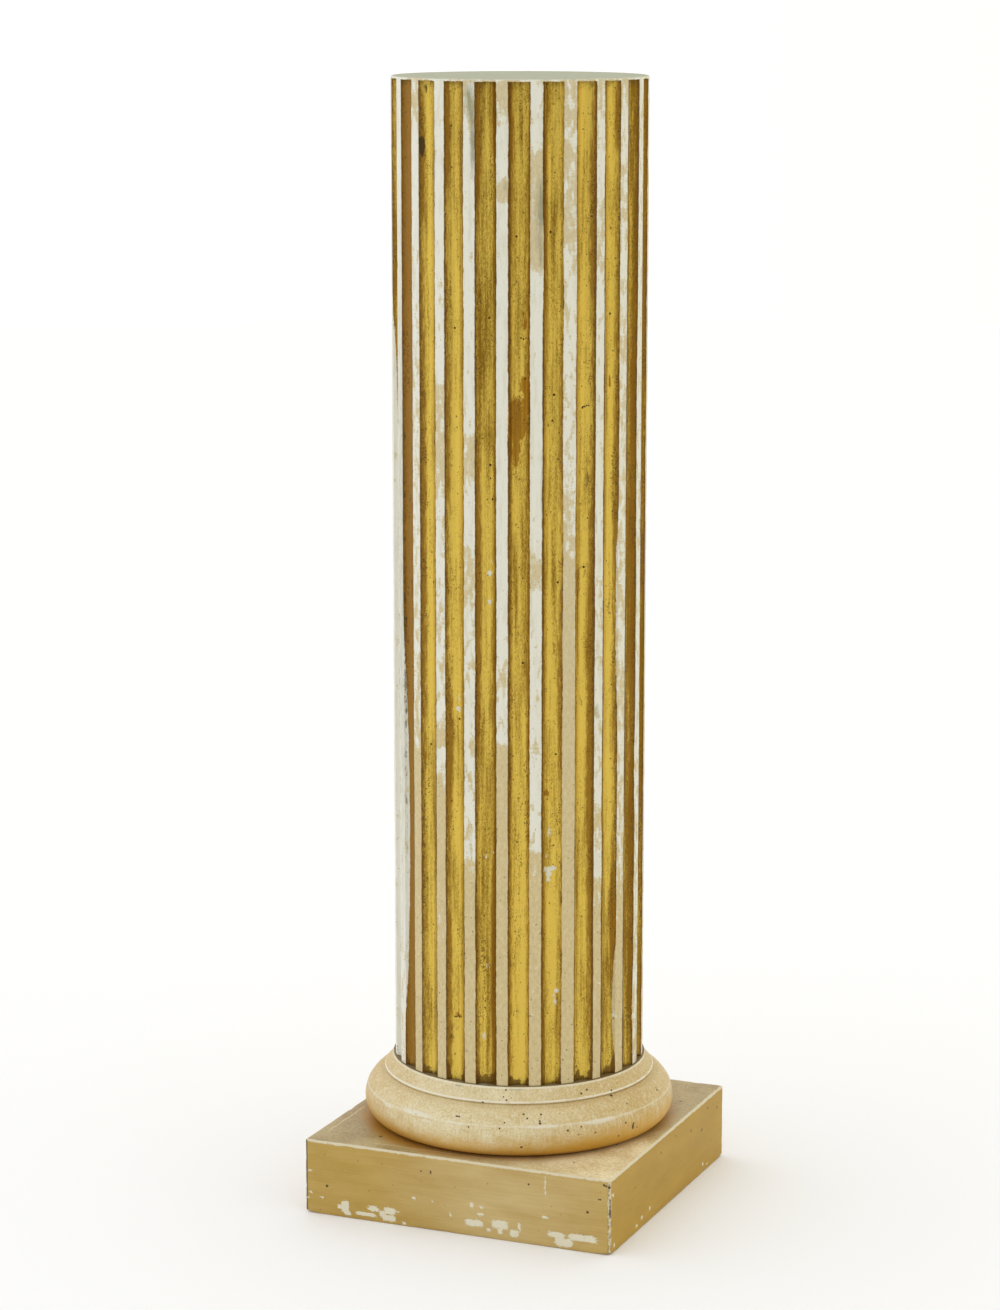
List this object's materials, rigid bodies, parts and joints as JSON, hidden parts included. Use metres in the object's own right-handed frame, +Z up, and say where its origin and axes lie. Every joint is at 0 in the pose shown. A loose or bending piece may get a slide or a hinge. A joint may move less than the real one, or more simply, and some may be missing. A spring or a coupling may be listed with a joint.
{
  "type": "fluted column pedestal",
  "caption": "Round fluted column pedestal with a flat round top, a turned torus base moulding and a square plinth, for showing a vase, bust or plant.",
  "frame": {"origin": "centre of the plinth's underside", "axes": "+Z up along the column's axis, X and Y square to the plinth's sides"},
  "size_m": [0.33, 0.33, 1.135],
  "materials": {
    "shaft_paint": "worn chalky cream paint with bronze paint in the flutes",
    "moulding_paint": "aged cream paint, rubbed on the arrises",
    "plinth_paint": "brushed ochre paint, chipped at the edges"
  },
  "bodies": {
    "root": {"fluted_shaft": "shaft_paint", "base_moulding": "moulding_paint", "plinth": "plinth_paint"}
  },
  "joints": []
}
